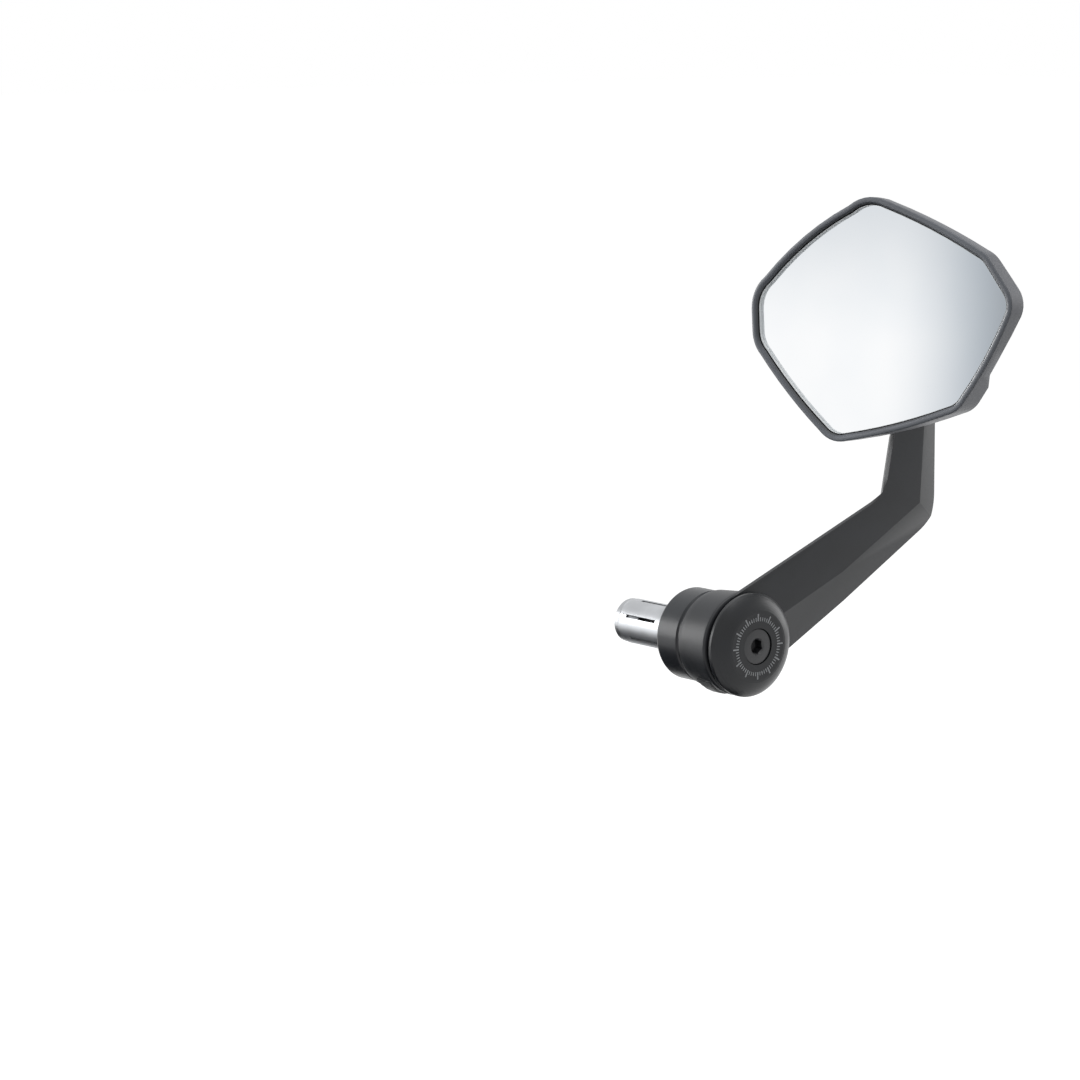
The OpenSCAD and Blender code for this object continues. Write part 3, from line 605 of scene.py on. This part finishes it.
def makeFloor(spec):
    net = newNet("paleFloor")
    speckle = net.noise(2.0)
    base = net.blend(speckle, spec["floorTone"], spec["floorPale"])
    paint = net.node("BsdfDiffuse", None, {"Color": base})
    glow = net.node("Emission", None, {"Color": (1.0, 1.0, 1.0, 1.0), "Strength": spec["floorGlow"]})
    lit = net.node("AddShader", None, {0: paint, 1: glow})
    dark = net.node("BsdfDiffuse", None, {"Color": spec["floorDark"]})
    floor = net.node("MixShader", None, {0: seenRays(net), 1: dark, 2: lit})
    net.node("OutputMaterial", None, {"Surface": floor})
    half, z = spec["floorHalf"], spec["floorZ"]
    corners = [(-half, -half, z), (half, -half, z), (half, half, z), (-half, half, z)]
    stagePlane("studioFloor", corners, net.owner)


def makeWorld(spec):
    world = bpy.data.worlds.new("softSurround")
    scene.world = world
    net = Net(world)
    strength = spec["worldDiffuse"] + seenRays(net) * (1.0 - spec["worldDiffuse"])
    sky = net.node("Background", None, {"Color": (1.0, 1.0, 1.0, 1.0), "Strength": strength})
    net.node("OutputWorld", None, {"Surface": sky})


def hideCard(card):
    # only glossy surfaces see it
    card.visible_camera = False
    card.visible_diffuse = False
    card.visible_shadow = False


# The card stands where the mirror looks; it goes from white to a cool grey towards the object's right,
# and a little towards the top
mirrorCard = {"sight": (-0.497, -0.868, -0.01), "away": 1.5, "wide": (-0.3, 0.6), "tall": (-0.24, 0.24),
              "drop": 0.66, "dropBand": (0.005, 0.125), "haze": 0.25, "hazeBand": (-0.027, 0.113),
              "cool": (0.93, 1.0, 1.07, 1.0), "coolGain": 2}


def makeMirrorCard(spec):
    middle = glassMiddle + Vector(spec["sight"]) * spec["away"]
    across = Vector((spec["sight"][1], -spec["sight"][0], 0)).normalized() * -1
    up = Vector((0, 0, 1))
    (left, right), (low, high) = spec["wide"], spec["tall"]
    net = newNet("greyCard")
    x, y, z = net.split(net.place())
    along = (x - middle.x) * across.x + (y - middle.y) * across.y
    fall = along.step(*spec["dropBand"])
    haze = (z - middle.z).step(*spec["hazeBand"]) * (1 - fall) * spec["haze"]
    tone = 1 - fall * spec["drop"] - haze
    tint = net.blend((1 - tone) * spec["coolGain"], (1.0, 1.0, 1.0, 1.0), spec["cool"])
    shade = net.blend(tone, (0.0, 0.0, 0.0, 1.0), tint)
    glow = net.node("Emission", None, {"Color": shade, "Strength": 1.0})
    net.node("OutputMaterial", None, {"Surface": glow})
    ends = ((left, low), (right, low), (right, high), (left, high))
    corners = [middle + across * i + up * j for i, j in ends]
    hideCard(stagePlane("mirrorCard", corners, net.owner))


# Dark card below and beside the bar's end, seen only by glossy surfaces: a painted dark reflection for the dark
# undersides of the photograph
floorCard = {"z": -0.27, "x": (-0.9, 0.1), "y": (-0.4, 0.12), "dark": rgb(48, 50, 54),
             "pale": rgb(54, 56, 60)}


def makeFloorCard(spec):
    net = newNet("darkCard")
    cloth = net.noise(40)
    paint = net.node("BsdfDiffuse", None, {"Color": net.blend(cloth, spec["dark"], spec["pale"])})
    net.node("OutputMaterial", None, {"Surface": paint})
    (left, right), (near, far), z = spec["x"], spec["y"], spec["z"]
    corners = [(left, near, z), (right, near, z), (right, far, z), (left, far, z)]
    hideCard(stagePlane("floorCard", corners, net.owner))


# Square soft lamps: place, target and side in metres, power in watts
lamps = {"topLamp": {"place": (0.1, 0.1, 1.6), "target": (0.02, 0.04, 0.06), "side": 1.4, "power": 10.0},
         "keyLamp": {"place": (-1.4, -0.95, 0.25), "target": (0.02, 0.04, 0.06), "side": 0.7, "power": 11.5},
         "backLamp": {"place": (0.2, 1.5, 0.35), "target": (0.02, 0.08, 0.08), "side": 0.9, "power": 5.0}}


def softLamp(name, spec):
    lamp = bpy.data.lights.new(name, "AREA")
    lamp.shape = "RECTANGLE"
    lamp.size = spec["side"]
    lamp.size_y = spec["side"]
    lamp.energy = spec["power"]
    holder = bpy.data.objects.new(name, lamp)
    scene.collection.objects.link(holder)
    holder.location = spec["place"]
    aim = Vector(spec["target"]) - Vector(spec["place"])
    holder.rotation_euler = aim.to_track_quat("-Z", "Y").to_euler()


makeFloor(studio)
makeWorld(studio)
makeMirrorCard(mirrorCard)
makeFloorCard(floorCard)
for name, spec in lamps.items():
    softLamp(name, spec)
print("studio made")

# Camera where the photograph was taken from: 1.3 m from the arm's face on the bar's axis
cameraSet = {"place": (0.9791, -0.8553, 0.2369), "azimuth": 51.31, "elevation": 8.86, "focalPixels": 3588,
             "framePixels": 1080, "sensor": 36.0, "clip": (0.05, 60.0)}


def makeCamera(spec):
    lens = bpy.data.cameras.new("photoCamera")
    lens.sensor_width = spec["sensor"]
    lens.lens = spec["focalPixels"] / spec["framePixels"] * spec["sensor"]
    lens.clip_start, lens.clip_end = spec["clip"]
    camera = bpy.data.objects.new("photoCamera", lens)
    scene.collection.objects.link(camera)
    a, e = math.radians(spec["azimuth"]), math.radians(spec["elevation"])
    back = Vector((math.sin(a) * math.cos(e), -math.cos(a) * math.cos(e), math.sin(e)))
    camera.location = spec["place"]
    camera.rotation_mode = "QUATERNION"
    camera.rotation_quaternion = (-back).to_track_quat("-Z", "Y")
    scene.camera = camera


makeCamera(cameraSet)
scene.view_settings.view_transform = "Standard"
print("camera set")
